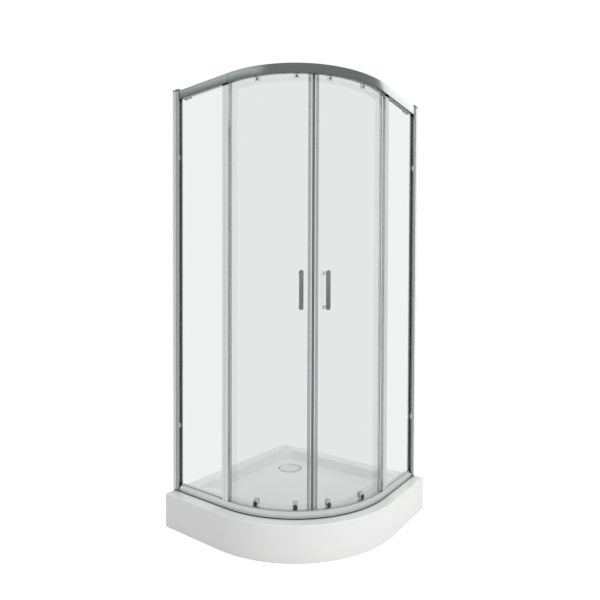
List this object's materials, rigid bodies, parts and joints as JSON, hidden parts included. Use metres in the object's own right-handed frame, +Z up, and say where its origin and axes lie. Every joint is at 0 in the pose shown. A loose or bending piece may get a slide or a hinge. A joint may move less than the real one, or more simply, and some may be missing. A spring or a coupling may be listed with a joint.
{
  "type": "quadrant shower enclosure",
  "caption": "Quadrant shower enclosure: curved glass doors on rollers slide between fixed panes in aluminium rails, over a deep acrylic tray with a lift-off drain cover.",
  "frame": {"origin": "on the floor, under the middle of the square that the tray fills", "axes": "+Z up; the room walls are the planes X = -0.45 and Y = +0.45, so the curved front faces +X and -Y"},
  "size_m": [0.9, 0.9, 2.0275],
  "materials": {
    "tray_acrylic": "gloss white moulded acrylic",
    "board_wood": "bare chipboard",
    "white_plastic": "moulded white",
    "zinc_steel": "zinc plated",
    "black_plastic": "moulded black",
    "chrome_metal": "polished chrome",
    "dark_rubber": "matt dark green-black",
    "bright_aluminium": "satin silver anodised",
    "grey_aluminium": "satin grey anodised",
    "white_coat": "white powder coat on aluminium",
    "grey_chrome": "polished grey chrome",
    "dark_cap": "moulded dark grey",
    "clear_glass": "clear toughened",
    "seal_plastic": "clear extruded",
    "light_plastic": "moulded light grey",
    "dark_wheel": "turned dark grey",
    "grey_button": "moulded grey"
  },
  "bodies": {
    "frame": {"tray_shell": "tray_acrylic", "tray_board": "board_wood", "foot_sockets": "white_plastic", "foot_studs": "zinc_steel", "foot_locknuts": "zinc_steel", "foot_pads": "black_plastic", "waste_flange": "chrome_metal", "waste_gasket": "dark_rubber", "waste_trap": "white_plastic", "waste_dip_tube": "white_plastic", "base_seal": "dark_rubber", "top_rail": "grey_aluminium", "bottom_rail": "bright_aluminium", "rail_brackets": "black_plastic", "frame_screws": "zinc_steel", "door_stops": "dark_rubber", "wall_channel_left": "white_coat", "wall_channel_right": "white_coat", "side_post_left": "bright_aluminium", "side_post_right": "bright_aluminium", "post_caps": "dark_cap", "adjusting_screws": "chrome_metal", "fixed_glass_left": "clear_glass", "fixed_glass_right": "clear_glass", "glazing_gaskets": "dark_rubber", "jamb_profile_left": "bright_aluminium", "jamb_profile_right": "bright_aluminium"},
    "drain_cover": {"drain_cover": "chrome_metal"},
    "door_left": {"door_glass_left": "clear_glass", "closing_profile_left": "seal_plastic", "magnetic_seal_left": "dark_rubber", "rear_profile_left": "seal_plastic", "handle_bar_left": "grey_chrome", "handle_fixings_left": "chrome_metal", "top_hangers_left": "light_plastic", "bottom_guides_left": "light_plastic", "clamp_pins_left": "dark_cap"},
    "top_wheel_lead_left": {"top_wheel_lead_left": "dark_wheel"},
    "bottom_wheel_lead_left": {"bottom_wheel_lead_left": "dark_wheel"},
    "release_button_lead_left": {"release_button_lead_left": "grey_button"},
    "top_wheel_trail_left": {"top_wheel_trail_left": "dark_wheel"},
    "bottom_wheel_trail_left": {"bottom_wheel_trail_left": "dark_wheel"},
    "release_button_trail_left": {"release_button_trail_left": "grey_button"},
    "door_right": {"door_glass_right": "clear_glass", "closing_profile_right": "seal_plastic", "magnetic_seal_right": "dark_rubber", "rear_profile_right": "seal_plastic", "handle_bar_right": "grey_chrome", "handle_fixings_right": "chrome_metal", "top_hangers_right": "light_plastic", "bottom_guides_right": "light_plastic", "clamp_pins_right": "dark_cap"},
    "top_wheel_lead_right": {"top_wheel_lead_right": "dark_wheel"},
    "bottom_wheel_lead_right": {"bottom_wheel_lead_right": "dark_wheel"},
    "release_button_lead_right": {"release_button_lead_right": "grey_button"},
    "top_wheel_trail_right": {"top_wheel_trail_right": "dark_wheel"},
    "bottom_wheel_trail_right": {"bottom_wheel_trail_right": "dark_wheel"},
    "release_button_trail_right": {"release_button_trail_right": "grey_button"}
  },
  "joints": [
    {"name": "door_left_slide", "type": "hinge", "parent": "frame", "child": "door_left", "pos_m": [-0.1197, 0.1419, 1], "axis": [0, 0, -1], "range_deg": [0, 25]},
    {"name": "top_wheel_lead_left_spin", "type": "hinge", "parent": "door_left", "child": "top_wheel_lead_left", "pos_m": [0.17803, -0.27988, 2.0013], "axis": [0.5906, -0.807, 0], "range_deg": [0, 1439]},
    {"name": "bottom_wheel_lead_left_spin", "type": "hinge", "parent": "door_left", "child": "bottom_wheel_lead_left", "pos_m": [0.17803, -0.27988, 0.1943], "axis": [0.5906, -0.807, 0], "range_deg": [0, 1439]},
    {"name": "release_button_lead_left_press", "type": "slide", "parent": "door_left", "child": "release_button_lead_left", "axis": [0.5906, -0.807, 0], "range_m": [0, 0.003], "stiffness_N_per_m": 400},
    {"name": "top_wheel_trail_left_spin", "type": "hinge", "parent": "door_left", "child": "top_wheel_trail_left", "pos_m": [0.02184, -0.35471, 2.0013], "axis": [0.2588, -0.9659, 0], "range_deg": [0, 1440]},
    {"name": "bottom_wheel_trail_left_spin", "type": "hinge", "parent": "door_left", "child": "bottom_wheel_trail_left", "pos_m": [0.02184, -0.35471, 0.1943], "axis": [0.2588, -0.9659, 0], "range_deg": [0, 1440]},
    {"name": "release_button_trail_left_press", "type": "slide", "parent": "door_left", "child": "release_button_trail_left", "axis": [0.2588, -0.9659, 0], "range_m": [0, 0.003], "stiffness_N_per_m": 400},
    {"name": "door_right_slide", "type": "hinge", "parent": "frame", "child": "door_right", "pos_m": [-0.1419, 0.1197, 1], "axis": [0, 0, 1], "range_deg": [0, 25]},
    {"name": "top_wheel_lead_right_spin", "type": "hinge", "parent": "door_right", "child": "top_wheel_lead_right", "pos_m": [0.27988, -0.17803, 2.0013], "axis": [-0.807, 0.5906, 0], "range_deg": [0, 1439]},
    {"name": "bottom_wheel_lead_right_spin", "type": "hinge", "parent": "door_right", "child": "bottom_wheel_lead_right", "pos_m": [0.27988, -0.17803, 0.1943], "axis": [-0.807, 0.5906, 0], "range_deg": [0, 1439]},
    {"name": "release_button_lead_right_press", "type": "slide", "parent": "door_right", "child": "release_button_lead_right", "axis": [0.807, -0.5906, 0], "range_m": [0, 0.003], "stiffness_N_per_m": 400},
    {"name": "top_wheel_trail_right_spin", "type": "hinge", "parent": "door_right", "child": "top_wheel_trail_right", "pos_m": [0.35471, -0.02184, 2.0013], "axis": [-0.9659, 0.2588, 0], "range_deg": [0, 1440]},
    {"name": "bottom_wheel_trail_right_spin", "type": "hinge", "parent": "door_right", "child": "bottom_wheel_trail_right", "pos_m": [0.35471, -0.02184, 0.1943], "axis": [-0.9659, 0.2588, 0], "range_deg": [0, 1440]},
    {"name": "release_button_trail_right_press", "type": "slide", "parent": "door_right", "child": "release_button_trail_right", "axis": [0.9659, -0.2588, 0], "range_m": [0, 0.003], "stiffness_N_per_m": 400},
    {"name": "drain_cover_lift", "type": "slide", "parent": "frame", "child": "drain_cover", "axis": [0, 0, 1], "range_m": [0, 0.05]}
  ],
  "couplings": [
    {"joint": "top_wheel_lead_left_spin", "follows": "door_left_slide", "ratio": 57.36},
    {"joint": "bottom_wheel_lead_left_spin", "follows": "door_left_slide", "ratio": 57.36},
    {"joint": "top_wheel_trail_left_spin", "follows": "door_left_slide", "ratio": 57.38},
    {"joint": "bottom_wheel_trail_left_spin", "follows": "door_left_slide", "ratio": 57.38},
    {"joint": "top_wheel_lead_right_spin", "follows": "door_right_slide", "ratio": 57.36},
    {"joint": "bottom_wheel_lead_right_spin", "follows": "door_right_slide", "ratio": 57.36},
    {"joint": "top_wheel_trail_right_spin", "follows": "door_right_slide", "ratio": 57.38},
    {"joint": "bottom_wheel_trail_right_spin", "follows": "door_right_slide", "ratio": 57.38}
  ]
}
